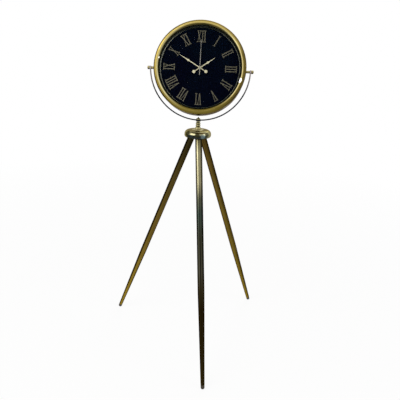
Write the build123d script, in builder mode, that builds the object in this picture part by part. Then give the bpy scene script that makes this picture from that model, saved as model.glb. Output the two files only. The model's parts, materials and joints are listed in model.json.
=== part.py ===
"""Tripod floor clock: a round drum clock held at three and nine o'clock in a thin
half-ring yoke, which swivels on a turned brass stem above a three-legged stand.

Millimetres, +Z up, floor at Z = 0, the dial facing -Y. The origin is on the floor,
at the middle of the box that the three feet stand in.
"""

import os
from math import acos, cos, degrees, hypot, radians, sin, sqrt

from build123d import *

os.makedirs("parts", exist_ok=True)

# Stand: legs and feet
leg_count = 3
leg_turn = 12.1  # degrees from straight ahead of the dial to the front leg
leg_splay = 21.53  # degrees from upright to an opened leg
leg_reach = 954.2  # hinge pin to the centre of the rounded foot
leg_diameter = 26.0
leg_wall = 1.2
leg_taper_length = 360.0
foot_diameter = 15.0
foot_tip_length = 9.0
foot_flat_depth = 0.5
foot_plug_length = 14.0
folded_leg_gap = 9.0  # between neighbouring legs when they hang side by side

# Stand: leg plugs and their hinges in the hub casting
tang_diameter = 18.0
tang_thickness = 10.0
tang_shoulder_gap = 3.0
plug_cap_height = 3.0
plug_spigot_length = 25.0
hinge_bolt_diameter = 6.0
hinge_head_height = 3.6
hinge_head_diameter = 10.0
hinge_washer_thickness = 0.8
slot_clearance = 0.2
stop_gap = 0.05
cheek_thickness = 9.8
casting_web = 5.0
casting_edge_inset = 1.0
casting_chamfer = 3.5

# Stand: spun cover over the hub
cover_diameter = 102.0
cover_height = 27.0
cover_wall = 2.2
cover_shoulder = 15.0
cover_curl = 7.0

# Stand: turned stem
stem_foot_diameter = 44.0
stem_foot_edge = 1.2
stem_cove_height = 10.5
stem_neck_diameter = 11.0
stem_neck_height = 1.4
stem_bead_diameter = 17.4
stem_bead_height = 7.8
stem_waist_height = 2.2
stem_collar_diameter = 17.5
stem_collar_height = 3.0
stem_collar_chamfer = 0.8
stem_stud_diameter = 6.0
stem_thread_diameter = 10.0
stem_thread_length = 15.0

# Yoke, its bearing washers and the finial nut
yoke_rod_diameter = 4.0
yoke_pad_diameter = 18.0
yoke_flat_margin = 0.2  # how far the pad and the eyes stand proud of the rod, each side
yoke_eye_diameter = 12.0
washer_thickness = 0.8
washer_rim = 1.0
finial_height = 8.6
finial_base_diameter = 15.5
finial_base_height = 2.2
finial_neck_diameter = 3.6
finial_ball_diameter = 4.6
finial_thread_depth = 3.2
finial_clearance = 1.6
running_clearance = 0.05
face_gap = 0.05

# Drum case and bezel, measured from the tilt axis along the way the dial faces
head_tilt = 18.2  # degrees that the dial looks up
bezel_diameter = 330.0
bezel_width = 18.0
bezel_crest = 42.5
bezel_rise = 6.5
bezel_inner_rise = 5.5
bezel_lip = 0.8
bezel_side = 2.5
skirt_wall = 3.3
skirt_clearance = 0.2
glass_seat = 10.0
glass_thickness = 2.0
hand_space = 7.5
case_wall = 2.0
case_back = 30.0
case_corner = 10.0
back_rim_width = 39.0

# Dial, its ring and numerals
dial_thickness = 1.5
dial_ring_slope = 6.0
dial_ring_sheet = 1.2
retainer_thickness = 2.0
retainer_width = 12.0
numeral_margin = 10.0
numeral_height = 41.0
numeral_stroke = 3.0
numeral_hairline = 1.9
numeral_serif = 2.4
numeral_relief = 0.6
numeral_one_width = 8.4
numeral_five_width = 15.5
numeral_ten_width = 15.5

# Back cover and its screws
back_cover_overlap = 6.0
back_cover_thickness = 1.6
window_width = 84.0
window_height = 72.0
window_corner = 6.0
back_screw_count = 6
back_screw_diameter = 3.0
back_screw_head_diameter = 6.0
back_screw_head_height = 1.8

# Tilt pivots and their clamp knobs
pivot_screw_diameter = 5.0
pivot_sleeve_diameter = 9.0
pivot_boss_diameter = 12.0
pivot_boss_height = 7.0
knob_diameter = 12.0
knob_length = 9.0
knob_dome = 3.0
knob_groove_width = 0.8
knob_groove_depth = 0.5

# Quartz movement
movement_width = 56.0
movement_depth = 15.5
movement_corner = 4.0
movement_edge = 1.0
gasket_thickness = 0.8
gasket_diameter = 24.0
bush_diameter = 8.0
bush_flange_diameter = 11.0
bush_flange_height = 1.2
bush_length = 10.0
bush_nut_width = 11.0
bush_nut_height = 2.0
bush_washer_diameter = 13.0
bush_washer_height = 0.5
work_chamber_diameter = 14.0
work_chamber_depth = 5.2
battery_diameter = 14.2
battery_length = 49.2
battery_nub_diameter = 5.4
battery_nub_length = 1.3
battery_clearance = 0.3
battery_drop = 18.0
contact_thickness = 0.5
contact_width = 10.0
set_wheel_diameter = 15.0
set_wheel_height = 3.6
set_wheel_recess = 2.2
set_wheel_offset = 13.0
set_wheel_post_diameter = 3.0
set_wheel_post_length = 5.0
set_wheel_flutes = 18
set_wheel_flute_diameter = 1.2

# Hands: pipes, heights above the bush nut, and outlines
hour_pipe_diameter = 6.0
minute_pipe_diameter = 4.0
second_arbor_diameter = 1.6
pipe_step = 0.9
hand_lift = 0.5
hand_gap = 0.8
hand_thickness = 0.5
hour_hand_length = 63.0
minute_hand_length = 86.0
second_hand_length = 96.0
hand_tail = 31.0
second_hand_tail = 26.0
hand_bulb_diameter = 11.0
hand_blade_width = 3.0
hand_tail_width = 2.4
hand_diamond_width = 7.6
hand_diamond_length = 14.0
hand_tip_width = 0.9
hour_diamond_share = 0.53
minute_diamond_share = 0.58
hand_hub_diameter = 8.4
second_hub_diameter = 5.6
second_hand_width = 2.6
second_tip_width = 1.2
second_cap_diameter = 4.0
second_cap_height = 0.7

# Time shown, as degrees clockwise from twelve
hour_angle = 55.0
minute_angle = 300.0
second_angle = 0.0

overrun = 1.0  # how far a cutting tool runs past the face that it leaves


# Places worked out from the sizes above

leg_radius = leg_diameter / 2
foot_radius = foot_diameter / 2
splay_sin = sin(radians(leg_splay))
splay_cos = cos(radians(leg_splay))
hinge_radius = (leg_diameter + folded_leg_gap) / (2 * sin(radians(180 / leg_count)))
hinge_height = foot_radius - foot_flat_depth + leg_reach * splay_cos
foot_circle_radius = hinge_radius + leg_reach * splay_sin
leg_angles = [leg_turn + number * 360 / leg_count for number in range(leg_count)]
leg_names = ["front", "right", "left"]


def outward(angle):
    """Unit vector in the floor, at an angle from -Y towards +X."""
    return Vector(sin(radians(angle)), -cos(radians(angle)), 0)


foot_places = [outward(angle) * foot_circle_radius for angle in leg_angles]
hub_x = -(max(foot.X for foot in foot_places) + min(foot.X for foot in foot_places)) / 2
hub_y = -(max(foot.Y for foot in foot_places) + min(foot.Y for foot in foot_places)) / 2
hub_foot = Vector(hub_x, hub_y, 0)
hub_axis = Axis(hub_foot, (0, 0, 1))
hub_profile = Plane(origin=hub_foot, x_dir=(1, 0, 0), z_dir=(0, -1, 0))

shoulder_distance = tang_diameter / 2 + tang_shoulder_gap
stop_distance = shoulder_distance - stop_gap
tang_top_clearance = slot_clearance * 2
casting_bottom = hinge_height - stop_distance * splay_cos
casting_top = hinge_height + tang_diameter / 2 + tang_top_clearance + casting_web
stop_radius = hinge_radius + stop_distance * splay_sin
arm_reach = stop_radius + leg_radius * splay_cos - casting_edge_inset
arm_width = tang_thickness + 2 * (slot_clearance + cheek_thickness)
arm_top_reach = arm_reach - casting_chamfer
hub_top = casting_top + cover_wall

stem_height = (
    stem_foot_edge + stem_cove_height + stem_neck_height + 2 * stem_bead_height
    + stem_waist_height + stem_collar_height
)
yoke_pad_height = yoke_rod_diameter + 2 * yoke_flat_margin
pad_bottom = hub_top + stem_height + washer_thickness
rod_height = pad_bottom + yoke_pad_height / 2
pad_top = pad_bottom + yoke_pad_height
finial_bottom = pad_top + washer_thickness + face_gap

bezel_radius = bezel_diameter / 2
bezel_crest_radius = bezel_radius - bezel_width / 2
bezel_shoulder = bezel_crest - bezel_rise
case_sweep = hypot(bezel_radius, bezel_shoulder)
yoke_radius = case_sweep + finial_clearance + finial_height + (finial_bottom - rod_height)
pivot = Vector(hub_x, hub_y, rod_height + yoke_radius)

face_normal = Vector(0, -cos(radians(head_tilt)), sin(radians(head_tilt)))
face_up = Vector(0, sin(radians(head_tilt)), cos(radians(head_tilt)))
face_axis = Axis(pivot, face_normal)
face_profile = Plane(origin=pivot, x_dir=(1, 0, 0), z_dir=-face_up)

bezel_inner_radius = bezel_radius - bezel_width
glass_radius = bezel_inner_radius + glass_seat
skirt_inner_radius = glass_radius + skirt_clearance
skirt_radius = skirt_inner_radius + skirt_wall
case_inner_radius = skirt_radius + skirt_clearance
case_radius = case_inner_radius + case_wall
case_front = bezel_shoulder - bezel_side
glass_front = bezel_crest - bezel_inner_rise - bezel_lip
glass_rear = glass_front - glass_thickness
dial_front = glass_rear - hand_space
dial_rear = dial_front - dial_thickness
retainer_rear = dial_rear - retainer_thickness
dial_opening_radius = bezel_inner_radius - dial_ring_slope
back_opening_radius = case_radius - back_rim_width
back_cover_radius = back_opening_radius + back_cover_overlap
back_screw_circle = (back_opening_radius + back_cover_radius) / 2

eye_thickness = yoke_pad_height
eye_inner = yoke_radius - eye_thickness / 2
eye_outer = yoke_radius + eye_thickness / 2
sleeve_end = eye_inner - washer_thickness - face_gap
boss_seat = sqrt(case_inner_radius**2 - (pivot_boss_diameter / 2) ** 2)
boss_end = boss_seat - pivot_boss_height

movement_front = dial_rear - gasket_thickness
movement_rear = movement_front - movement_depth
bush_front = dial_front + bush_washer_height + bush_nut_height + face_gap
bush_rear = bush_front - bush_length
bush_bore_diameter = hour_pipe_diameter + 2 * running_clearance
hour_hand_rear = bush_front + hand_lift
minute_hand_rear = hour_hand_rear + hand_thickness + hand_gap
second_hand_rear = minute_hand_rear + hand_thickness + hand_gap
chamber_rear = bush_rear - work_chamber_depth
hour_pipe_rear = bush_rear - pipe_step
minute_pipe_rear = hour_pipe_rear - pipe_step
second_arbor_rear = chamber_rear - second_arbor_diameter + face_gap
battery_floor = movement_rear + battery_diameter + 2 * battery_clearance
battery_depth = battery_floor - battery_clearance - battery_diameter / 2
battery_axis_length = battery_length + battery_nub_length
bay_length = battery_axis_length + 2 * (contact_thickness + battery_clearance)
bay_height = battery_diameter + 2 * battery_clearance


def save_piece(piece, label):
    """Label a finished piece and write it under that name."""
    piece.part.label = label
    export_step(piece.part, f"parts/{label}.step")


def side_plane(angle):
    """Upright plane through the hub axis and one leg: X outwards, Y up."""
    return Plane(
        origin=hub_foot,
        x_dir=outward(angle),
        z_dir=(-cos(radians(angle)), -sin(radians(angle)), 0),
    )


def leg_plane(angle):
    """Plane at the hinge of one leg: X across the leg, Y down along it."""
    across = outward(angle) * splay_cos + Vector(0, 0, splay_sin)
    along = outward(angle) * splay_sin - Vector(0, 0, splay_cos)
    return Plane(
        origin=hub_foot + outward(angle) * hinge_radius + Vector(0, 0, hinge_height),
        x_dir=across,
        z_dir=across.cross(along),
    )


def leg_axis(angle):
    """Centre line of one leg, from its hinge down to its foot."""
    plane = leg_plane(angle)
    return Axis(plane.origin, plane.y_dir)


def dial_plane(depth, clock_angle=0):
    """Plane facing out of the dial, turned so that Y points to a clock angle."""
    turn = radians(clock_angle)
    return Plane(
        origin=pivot + face_normal * depth,
        x_dir=Vector(1, 0, 0) * cos(turn) - face_up * sin(turn),
        z_dir=face_normal,
    )


def pivot_plane(side):
    """Upright plane through the tilt axis: X outwards on one side, Y up."""
    return Plane(origin=pivot, x_dir=(side, 0, 0), z_dir=(0, -side, 0))


# Hub casting: three clevis arms under the cover, each with a facet that stops its leg

with BuildPart() as hub_casting:
    for angle in leg_angles:
        with BuildSketch(side_plane(angle)):
            with BuildLine():
                Polyline(
                    (0, casting_bottom),
                    (stop_radius, casting_bottom),
                    (arm_reach, casting_bottom + (arm_reach - stop_radius) * splay_sin / splay_cos),
                    (arm_reach, casting_top - (arm_reach - arm_top_reach)),
                    (arm_top_reach, casting_top),
                    (0, casting_top),
                    close=True,
                )
            make_face()
        extrude(amount=arm_width / 2, both=True)
    slot_inner = hinge_radius - tang_diameter / 2 - 2 * slot_clearance
    slot_top = hinge_height + tang_diameter / 2 + tang_top_clearance
    for angle in leg_angles:
        with BuildSketch(side_plane(angle)):
            with Locations((slot_inner, slot_top)):
                Rectangle(
                    arm_reach - slot_inner + overrun,
                    slot_top - casting_bottom + overrun,
                    align=(Align.MIN, Align.MAX),
                )
        extrude(amount=tang_thickness / 2 + slot_clearance, both=True, mode=Mode.SUBTRACT)
        with BuildSketch(side_plane(angle)):
            with Locations((hinge_radius, hinge_height)):
                Circle(hinge_bolt_diameter / 2 + running_clearance)
        extrude(amount=arm_width / 2 + overrun, both=True, mode=Mode.SUBTRACT)
    with BuildSketch(Plane.XY.offset(casting_top - stem_thread_length)):
        with Locations((hub_x, hub_y)):
            Circle(stem_thread_diameter / 2)
    extrude(amount=stem_thread_length + overrun, mode=Mode.SUBTRACT)
save_piece(hub_casting, "hub_casting")

# Hinge bolts: a hexagon head outside one cheek, the shank through both and the tang

with BuildPart() as hinge_bolts:
    for angle in leg_angles:
        with BuildSketch(side_plane(angle).offset(-arm_width / 2 - hinge_washer_thickness)):
            with Locations((hinge_radius, hinge_height)):
                Circle(hinge_bolt_diameter / 2)
        extrude(amount=arm_width + 2 * hinge_washer_thickness + hinge_head_height)
        with BuildSketch(side_plane(angle).offset(-arm_width / 2 - hinge_washer_thickness)):
            with Locations((hinge_radius, hinge_height)):
                RegularPolygon(hinge_head_diameter / 2, 6, major_radius=False)
        extrude(amount=-hinge_head_height)
save_piece(hinge_bolts, "hinge_bolts")

# Hinge nuts on the other cheek, and a plain washer under each head and nut

with BuildPart() as hinge_nuts:
    for angle in leg_angles:
        with BuildSketch(side_plane(angle).offset(arm_width / 2 + hinge_washer_thickness)):
            with Locations((hinge_radius, hinge_height)):
                RegularPolygon(hinge_head_diameter / 2, 6, major_radius=False)
                Circle(hinge_bolt_diameter / 2, mode=Mode.SUBTRACT)
        extrude(amount=hinge_head_height)
save_piece(hinge_nuts, "hinge_nuts")

with BuildPart() as hinge_washers:
    for angle in leg_angles:
        for face in (-arm_width / 2 - hinge_washer_thickness, arm_width / 2):
            with BuildSketch(side_plane(angle).offset(face)):
                with Locations((hinge_radius, hinge_height)):
                    Circle(hinge_head_diameter / 2 + washer_rim)
                    Circle(hinge_bolt_diameter / 2 + running_clearance, mode=Mode.SUBTRACT)
            extrude(amount=hinge_washer_thickness)
save_piece(hinge_washers, "hinge_washers")

# Hub cover: a spun dish, round in the shoulder and curled in at its open lower edge

cover_radius = cover_diameter / 2
cover_bottom = hub_top - cover_height
cover_flat_radius = hypot(arm_top_reach, arm_width / 2) + slot_clearance
cover_shoulder_width = cover_radius - cover_flat_radius

with BuildPart() as hub_cover:
    with BuildSketch(hub_profile):
        with BuildLine():
            Line((stem_thread_diameter / 2, hub_top), (cover_flat_radius, hub_top))
            EllipticalCenterArc(
                (cover_flat_radius, hub_top - cover_shoulder),
                cover_shoulder_width,
                cover_shoulder,
                0,
                arc_size=90,
            )
            Line((cover_radius, hub_top - cover_shoulder), (cover_radius, cover_bottom + cover_curl))
            CenterArc((cover_radius - cover_curl, cover_bottom + cover_curl), cover_curl, 0, -90)
            Line(
                (cover_radius - cover_curl, cover_bottom),
                (cover_radius - cover_curl, cover_bottom + cover_wall),
            )
            CenterArc(
                (cover_radius - cover_curl, cover_bottom + cover_curl), cover_curl - cover_wall, -90, 90
            )
            Line(
                (cover_radius - cover_wall, cover_bottom + cover_curl),
                (cover_radius - cover_wall, hub_top - cover_shoulder),
            )
            EllipticalCenterArc(
                (cover_flat_radius, hub_top - cover_shoulder),
                cover_shoulder_width - cover_wall,
                cover_shoulder - cover_wall,
                0,
                arc_size=90,
            )
            Polyline(
                (cover_flat_radius, hub_top - cover_wall),
                (stem_thread_diameter / 2, hub_top - cover_wall),
                (stem_thread_diameter / 2, hub_top),
            )
        make_face()
    revolve(axis=hub_axis)
save_piece(hub_cover, "hub_cover")

# Stem: turned in one piece, with a cove foot, two beads, a collar and a stud at each end

cove_top = hub_top + stem_foot_edge + stem_cove_height
lower_bead_bottom = cove_top + stem_neck_height
upper_bead_bottom = lower_bead_bottom + stem_bead_height
upper_bead_top = upper_bead_bottom + stem_bead_height
collar_bottom = upper_bead_top + stem_waist_height
stem_top = collar_bottom + stem_collar_height
stem_neck_radius = stem_neck_diameter / 2
stem_foot_radius = stem_foot_diameter / 2
stud_top = finial_bottom + finial_thread_depth - face_gap
cove_bulge_share = 0.26

with BuildPart() as stem:
    with BuildSketch(hub_profile):
        with BuildLine():
            Polyline(
                (0, hub_top - stem_thread_length - cover_wall + face_gap),
                (stem_thread_diameter / 2, hub_top - stem_thread_length - cover_wall + face_gap),
                (stem_thread_diameter / 2, hub_top),
                (stem_foot_radius, hub_top),
                (stem_foot_radius, hub_top + stem_foot_edge),
            )
            ThreePointArc(
                (stem_foot_radius, hub_top + stem_foot_edge),
                (
                    stem_neck_radius + (stem_foot_radius - stem_neck_radius) * cove_bulge_share,
                    hub_top + stem_foot_edge + stem_cove_height * cove_bulge_share,
                ),
                (stem_neck_radius, cove_top),
            )
            Line((stem_neck_radius, cove_top), (stem_neck_radius, lower_bead_bottom))
            ThreePointArc(
                (stem_neck_radius, lower_bead_bottom),
                (stem_bead_diameter / 2, lower_bead_bottom + stem_bead_height / 2),
                (stem_neck_radius, upper_bead_bottom),
            )
            ThreePointArc(
                (stem_neck_radius, upper_bead_bottom),
                (stem_bead_diameter / 2, upper_bead_bottom + stem_bead_height / 2),
                (stem_neck_radius, upper_bead_top),
            )
            Polyline(
                (stem_neck_radius, upper_bead_top),
                (stem_neck_radius, collar_bottom),
                (stem_collar_diameter / 2, collar_bottom + stem_collar_chamfer),
                (stem_collar_diameter / 2, stem_top),
                (stem_stud_diameter / 2, stem_top),
                (stem_stud_diameter / 2, stud_top),
                (0, stud_top),
                (0, hub_top - stem_thread_length - cover_wall + face_gap),
            )
        make_face()
    revolve(axis=hub_axis)
save_piece(stem, "stem")

# Legs: a tube that tapers below, a plug with the hinge tang, and a dark rounded foot tip

cap_bottom = shoulder_distance + plug_cap_height
taper_start = leg_reach - leg_taper_length
tip_start = leg_reach - foot_tip_length

for angle, name in zip(leg_angles, leg_names):
    with BuildPart() as leg_tube:
        with BuildSketch(leg_plane(angle)):
            with BuildLine():
                Polyline(
                    (leg_radius - leg_wall, cap_bottom),
                    (leg_radius, cap_bottom),
                    (leg_radius, taper_start),
                    (foot_radius, tip_start),
                    (foot_radius - leg_wall, tip_start),
                    (leg_radius - leg_wall, taper_start),
                    close=True,
                )
            make_face()
        revolve(axis=leg_axis(angle))
    save_piece(leg_tube, f"leg_tube_{name}")

    with BuildPart() as leg_plug:
        with BuildSketch(leg_plane(angle)):
            with BuildLine():
                Polyline(
                    (0, shoulder_distance),
                    (leg_radius, shoulder_distance),
                    (leg_radius, cap_bottom),
                    (leg_radius - leg_wall, cap_bottom),
                    (leg_radius - leg_wall, cap_bottom + plug_spigot_length),
                    (0, cap_bottom + plug_spigot_length),
                    close=True,
                )
            make_face()
        revolve(axis=leg_axis(angle))
        with BuildSketch(leg_plane(angle)):
            Circle(tang_diameter / 2)
            Rectangle(tang_diameter, shoulder_distance, align=(Align.CENTER, Align.MIN))
        extrude(amount=tang_thickness / 2, both=True)
        with BuildSketch(leg_plane(angle)):
            Circle(hinge_bolt_diameter / 2 + running_clearance)
        extrude(amount=tang_thickness / 2 + overrun, both=True, mode=Mode.SUBTRACT)
    save_piece(leg_plug, f"leg_plug_{name}")

    with BuildPart() as foot_tip:
        with BuildSketch(leg_plane(angle)):
            with BuildLine():
                Polyline(
                    (0, leg_reach + foot_radius),
                    (0, tip_start - foot_plug_length),
                    (foot_radius - leg_wall, tip_start - foot_plug_length),
                    (foot_radius - leg_wall, tip_start),
                    (foot_radius, tip_start),
                    (foot_radius, leg_reach),
                )
                CenterArc((0, leg_reach), foot_radius, 0, 90)
            make_face()
        revolve(axis=leg_axis(angle))
        split(bisect_by=Plane.XY, keep=Keep.TOP)
    save_piece(foot_tip, f"foot_tip_{name}")

# Yoke: one round rod bent to a half ring, flattened to an eye at each end and a pad below

with BuildPart() as yoke:
    with BuildLine(pivot_plane(1)):
        CenterArc((0, 0), yoke_radius, 180, 180)
    with BuildSketch(Plane(origin=pivot - Vector(yoke_radius, 0, 0), z_dir=(0, 0, 1))):
        Circle(yoke_rod_diameter / 2)
    sweep()
    for side in (1, -1):
        with BuildSketch(Plane(origin=pivot + Vector(side * eye_inner, 0, 0), z_dir=(side, 0, 0))):
            Circle(yoke_eye_diameter / 2)
        extrude(amount=eye_thickness)
        with BuildSketch(Plane(origin=pivot + Vector(side * eye_inner, 0, 0), z_dir=(side, 0, 0))):
            Circle(pivot_screw_diameter / 2 + running_clearance)
        extrude(amount=2 * eye_thickness, both=True, mode=Mode.SUBTRACT)
    with BuildSketch(Plane.XY.offset(pad_bottom)):
        with Locations((hub_x, hub_y)):
            Circle(yoke_pad_diameter / 2)
    extrude(amount=yoke_pad_height)
    with BuildSketch(Plane.XY.offset(pad_bottom)):
        with Locations((hub_x, hub_y)):
            Circle(stem_stud_diameter / 2 + running_clearance)
    extrude(amount=yoke_pad_height, mode=Mode.SUBTRACT)
save_piece(yoke, "yoke")

with BuildPart() as swivel_washers:
    for height in (stem_top, pad_top):
        with BuildSketch(Plane.XY.offset(height)):
            with Locations((hub_x, hub_y)):
                Circle(finial_base_diameter / 2 + washer_rim / 2)
                Circle(stem_stud_diameter / 2 + running_clearance, mode=Mode.SUBTRACT)
        extrude(amount=washer_thickness)
save_piece(swivel_washers, "swivel_washers")

# Finial nut: a turned acorn with a small ball, threaded on the stud above the yoke

finial_top = finial_bottom + finial_height
ball_radius = finial_ball_diameter / 2
ball_centre = finial_top - ball_radius
finial_neck_radius = finial_neck_diameter / 2
neck_half_angle = degrees(acos(finial_neck_radius / ball_radius))
finial_neck_height = ball_centre - ball_radius * sin(radians(neck_half_angle))
finial_base_radius = finial_base_diameter / 2
belly_share = 0.72

with BuildPart() as finial_nut:
    with BuildSketch(hub_profile):
        with BuildLine():
            Polyline(
                (0, finial_bottom + finial_thread_depth),
                (stem_stud_diameter / 2 + running_clearance, finial_bottom + finial_thread_depth),
                (stem_stud_diameter / 2 + running_clearance, finial_bottom),
                (finial_base_radius, finial_bottom),
                (finial_base_radius, finial_bottom + finial_base_height),
            )
            ThreePointArc(
                (finial_base_radius, finial_bottom + finial_base_height),
                (
                    finial_neck_radius + (finial_base_radius - finial_neck_radius) * belly_share,
                    (finial_bottom + finial_base_height + finial_neck_height) / 2,
                ),
                (finial_neck_radius, finial_neck_height),
            )
            CenterArc((0, ball_centre), ball_radius, -neck_half_angle, 90 + neck_half_angle)
            Line((0, finial_top), (0, finial_bottom + finial_thread_depth))
        make_face()
    revolve(axis=hub_axis)
save_piece(finial_nut, "finial_nut")

# Case shell: a spun pan, open in front for the bezel and behind under the back cover

with BuildPart() as case_shell:
    with BuildSketch(face_profile):
        with BuildLine():
            Line((case_inner_radius, case_front), (case_radius, case_front))
            Line((case_radius, case_front), (case_radius, case_corner - case_back))
            CenterArc((case_radius - case_corner, case_corner - case_back), case_corner, 0, -90)
            Polyline(
                (case_radius - case_corner, -case_back),
                (back_opening_radius, -case_back),
                (back_opening_radius, case_wall - case_back),
                (case_radius - case_corner, case_wall - case_back),
            )
            CenterArc(
                (case_radius - case_corner, case_corner - case_back), case_corner - case_wall, -90, 90
            )
            Line((case_inner_radius, case_corner - case_back), (case_inner_radius, case_front))
        make_face()
    revolve(axis=face_axis)
    for side in (1, -1):
        with BuildSketch(Plane(origin=pivot, z_dir=(side, 0, 0))):
            Circle(pivot_screw_diameter / 2 + running_clearance)
        extrude(amount=case_radius + overrun, mode=Mode.SUBTRACT)
    with BuildSketch(dial_plane(case_wall - case_back)):
        with PolarLocations(back_screw_circle, back_screw_count):
            Circle(back_screw_diameter / 2)
    extrude(amount=-case_wall - overrun, mode=Mode.SUBTRACT)
save_piece(case_shell, "case_shell")

# Bezel: a spun ring with a round crest, a lip over the glass and a skirt inside the shell

with BuildPart() as bezel:
    with BuildSketch(face_profile):
        with BuildLine():
            Polyline(
                (bezel_inner_radius, bezel_crest - bezel_inner_rise),
                (bezel_inner_radius, glass_front),
                (skirt_inner_radius, glass_front),
                (skirt_inner_radius, retainer_rear),
                (skirt_radius, retainer_rear),
                (skirt_radius, case_front),
                (bezel_radius, case_front),
                (bezel_radius, bezel_shoulder),
            )
            EllipticalCenterArc(
                (bezel_crest_radius, bezel_shoulder), bezel_width / 2, bezel_rise, 0, arc_size=90
            )
            EllipticalCenterArc(
                (bezel_crest_radius, bezel_crest - bezel_inner_rise),
                bezel_width / 2,
                bezel_inner_rise,
                90,
                arc_size=90,
            )
        make_face()
    revolve(axis=face_axis)
save_piece(bezel, "bezel")

with BuildPart() as dial_glass:
    with BuildSketch(dial_plane(glass_rear)):
        Circle(glass_radius)
    extrude(amount=glass_thickness)
save_piece(dial_glass, "dial_glass")

# Dial ring: a spun cone between the glass and the dial, with a flange under the glass

with BuildPart() as dial_ring:
    with BuildSketch(face_profile):
        with BuildLine():
            Polyline(
                (dial_opening_radius, dial_front),
                (bezel_inner_radius, glass_rear),
                (glass_radius, glass_rear),
                (glass_radius, glass_rear - dial_ring_sheet),
                (bezel_inner_radius + dial_ring_sheet, glass_rear - dial_ring_sheet),
                (dial_opening_radius + 2 * dial_ring_sheet, dial_front),
                close=True,
            )
        make_face()
    revolve(axis=face_axis)
save_piece(dial_ring, "dial_ring")

with BuildPart() as dial_plate:
    with BuildSketch(dial_plane(dial_rear)):
        Circle(glass_radius)
        Circle(bush_diameter / 2 + running_clearance, mode=Mode.SUBTRACT)
    extrude(amount=dial_thickness)
save_piece(dial_plate, "dial_plate")

with BuildPart() as dial_retainer:
    with BuildSketch(dial_plane(retainer_rear)):
        Circle(glass_radius)
        Circle(glass_radius - retainer_width, mode=Mode.SUBTRACT)
    extrude(amount=retainer_thickness)
save_piece(dial_retainer, "dial_retainer")

# Numerals: cut from sheet and fixed on the dial, upright towards the rim

numeral_texts = ["I", "II", "III", "IV", "V", "VI", "VII", "VIII", "IX", "X", "XI", "XII"]
numeral_widths = {"I": numeral_one_width, "V": numeral_five_width, "X": numeral_ten_width}
numeral_ring_radius = dial_opening_radius - numeral_margin - numeral_height / 2
numeral_half = numeral_height / 2


def draw_stroke(foot_x, head_x, width):
    """One straight stroke from the foot line to the head line of a numeral."""
    foot_y = numeral_ring_radius - numeral_half
    head_y = numeral_ring_radius + numeral_half
    Polygon(
        (foot_x - width / 2, foot_y),
        (foot_x + width / 2, foot_y),
        (head_x + width / 2, head_y),
        (head_x - width / 2, head_y),
        align=None,
    )


def draw_serif(centre_x, width, end):
    """A serif on the head line (end 1) or the foot line (end -1)."""
    with Locations((centre_x, numeral_ring_radius + end * (numeral_half - numeral_serif / 2))):
        Rectangle(width, numeral_serif)


def draw_numeral(text):
    """One Roman numeral, its strokes thick and thin and its serifs joined."""
    left = -sum(numeral_widths[letter] for letter in text) / 2
    for letter in text:
        width = numeral_widths[letter]
        middle = left + width / 2
        arm = width / 2 - numeral_stroke / 2 - numeral_hairline / 2
        serif = numeral_stroke + 2 * numeral_hairline
        if letter == "I":
            draw_stroke(middle, middle, numeral_stroke)
            draw_serif(middle, width, 1)
            draw_serif(middle, width, -1)
        elif letter == "V":
            draw_stroke(middle, middle - arm, numeral_stroke)
            draw_stroke(middle, middle + arm, numeral_hairline)
            draw_serif(left + serif / 2, serif, 1)
            draw_serif(left + width - serif / 2, serif, 1)
        else:
            draw_stroke(middle + arm, middle - arm, numeral_stroke)
            draw_stroke(middle - arm, middle + arm, numeral_hairline)
            for end in (1, -1):
                draw_serif(left + serif / 2, serif, end)
                draw_serif(left + width - serif / 2, serif, end)
        left += width


with BuildPart() as dial_numerals:
    for number, text in enumerate(numeral_texts, start=1):
        with BuildSketch(dial_plane(dial_front, number * 360 / len(numeral_texts))):
            draw_numeral(text)
        extrude(amount=numeral_relief)
save_piece(dial_numerals, "dial_numerals")

# Back cover: a flat plate with a window behind the movement, held by pan-head screws

with BuildPart() as back_cover:
    with BuildSketch(dial_plane(-case_back)):
        Circle(back_cover_radius)
        RectangleRounded(window_width, window_height, window_corner, mode=Mode.SUBTRACT)
        with PolarLocations(back_screw_circle, back_screw_count):
            Circle(back_screw_diameter / 2, mode=Mode.SUBTRACT)
    extrude(amount=-back_cover_thickness)
save_piece(back_cover, "back_cover")

with BuildPart() as back_cover_screws:
    with BuildSketch(dial_plane(case_wall - case_back)):
        with PolarLocations(back_screw_circle, back_screw_count):
            Circle(back_screw_diameter / 2)
    extrude(amount=-case_wall - back_cover_thickness)
    with BuildSketch(dial_plane(-case_back - back_cover_thickness)):
        with PolarLocations(back_screw_circle, back_screw_count):
            Circle(back_screw_head_diameter / 2)
    extrude(amount=-back_screw_head_height, taper=20)
save_piece(back_cover_screws, "back_cover_screws")

# Pivots: a sleeve outside the shell, a threaded boss inside it and a fibre washer at the eye

with BuildPart() as pivot_sleeves:
    for side in (1, -1):
        with BuildSketch(pivot_plane(side)):
            with BuildLine():
                Polyline(
                    (case_radius, pivot_screw_diameter / 2 + running_clearance),
                    (sleeve_end, pivot_screw_diameter / 2 + running_clearance),
                    (sleeve_end, pivot_sleeve_diameter / 2),
                    (case_radius, pivot_sleeve_diameter / 2),
                    close=True,
                )
            make_face()
        revolve(axis=Axis(pivot, (1, 0, 0)))
save_piece(pivot_sleeves, "pivot_sleeves")

with BuildPart() as pivot_bosses:
    for side in (1, -1):
        with BuildSketch(pivot_plane(side)):
            with BuildLine():
                Polyline(
                    (boss_seat, pivot_screw_diameter / 2 + running_clearance),
                    (boss_seat, pivot_boss_diameter / 2),
                    (boss_end, pivot_boss_diameter / 2),
                    (boss_end, pivot_screw_diameter / 2 + running_clearance),
                    close=True,
                )
            make_face()
        revolve(axis=Axis(pivot, (1, 0, 0)))
save_piece(pivot_bosses, "pivot_bosses")

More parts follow.
